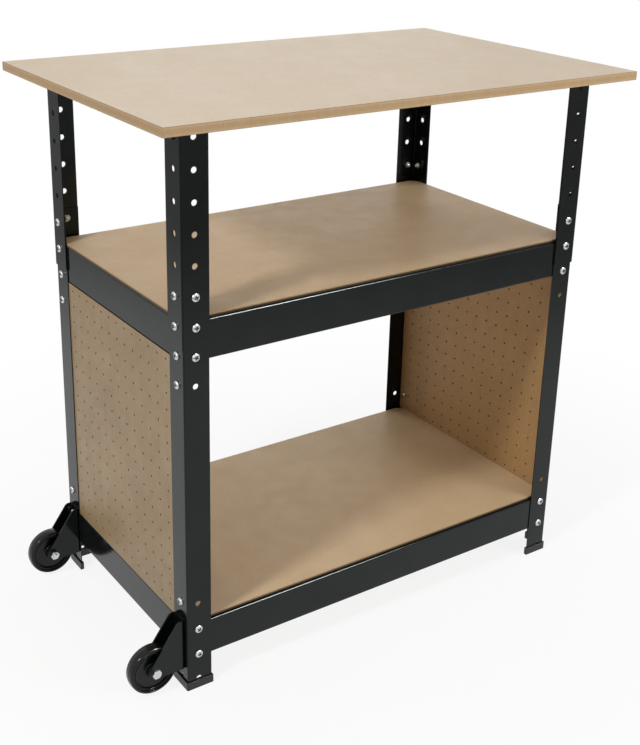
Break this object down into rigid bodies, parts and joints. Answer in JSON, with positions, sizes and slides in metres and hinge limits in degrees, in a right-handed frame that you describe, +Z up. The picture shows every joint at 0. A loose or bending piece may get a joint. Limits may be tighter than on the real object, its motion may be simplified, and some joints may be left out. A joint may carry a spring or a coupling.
{
  "type": "three-tier service cart",
  "caption": "Bolted workshop cart: perforated angle-steel posts, overhanging fibreboard top, two fibreboard shelves, pegboard ends and tip wheels at one end.",
  "frame": {"origin": "on the floor, under the middle of the whole cart's box, wheels included", "axes": "+Z up, the long open front faces -Y, the wheels are at the -X end"},
  "size_m": [0.8485, 0.512, 0.8505],
  "materials": {
    "top_fibreboard": "smooth sanded fibreboard",
    "shelf_fibreboard": "smooth hardboard",
    "pegboard": "perforated hardboard",
    "black_steel": "semi-gloss powder coat",
    "black_plastic": "moulded",
    "wheel_plastic": "moulded, soft gloss",
    "zinc_steel": "bright zinc plate",
    "black_bolt": "black oxide"
  },
  "bodies": {
    "cart": {"top_board": "top_fibreboard", "upper_shelf_board": "shelf_fibreboard", "lower_shelf_board": "shelf_fibreboard", "left_pegboard": "pegboard", "right_pegboard": "pegboard", "lower_post_front_left": "black_steel", "lower_post_front_right": "black_steel", "lower_post_back_left": "black_steel", "lower_post_back_right": "black_steel", "upper_post_front_left": "black_steel", "upper_post_front_right": "black_steel", "upper_post_back_left": "black_steel", "upper_post_back_right": "black_steel", "upper_front_beam": "black_steel", "upper_back_beam": "black_steel", "upper_left_beam": "black_steel", "upper_right_beam": "black_steel", "lower_front_beam": "black_steel", "lower_back_beam": "black_steel", "lower_left_beam": "black_steel", "lower_right_beam": "black_steel", "top_bracket_front_left": "black_steel", "top_bracket_front_right": "black_steel", "top_bracket_back_left": "black_steel", "top_bracket_back_right": "black_steel", "front_wheel_bracket": "black_steel", "back_wheel_bracket": "black_steel", "foot_cap_front_left": "black_plastic", "foot_cap_front_right": "black_plastic", "foot_cap_back_left": "black_plastic", "foot_cap_back_right": "black_plastic", "front_axle_bolt": "zinc_steel", "front_axle_nut": "zinc_steel", "front_axle_sleeve": "zinc_steel", "back_axle_bolt": "zinc_steel", "back_axle_nut": "zinc_steel", "back_axle_sleeve": "zinc_steel", "splice_bolts": "zinc_steel", "splice_nuts": "zinc_steel", "upper_beam_bolts": "zinc_steel", "upper_beam_nuts": "zinc_steel", "lower_beam_bolts": "zinc_steel", "lower_beam_nuts": "zinc_steel", "pegboard_bolts": "zinc_steel", "pegboard_nuts": "zinc_steel", "top_bracket_nuts": "zinc_steel", "wood_screws": "zinc_steel", "top_bracket_bolts": "black_bolt"},
    "front_wheel": {"front_wheel": "wheel_plastic"},
    "back_wheel": {"back_wheel": "wheel_plastic"}
  },
  "joints": [
    {"name": "front_wheel_spin", "type": "hinge", "parent": "cart", "child": "front_wheel", "pos_m": [-0.38675, -0.183, 0.044], "axis": [0, 1, 0], "continuous": true},
    {"name": "back_wheel_spin", "type": "hinge", "parent": "cart", "child": "back_wheel", "pos_m": [-0.38675, 0.183, 0.044], "axis": [0, 1, 0], "continuous": true}
  ]
}
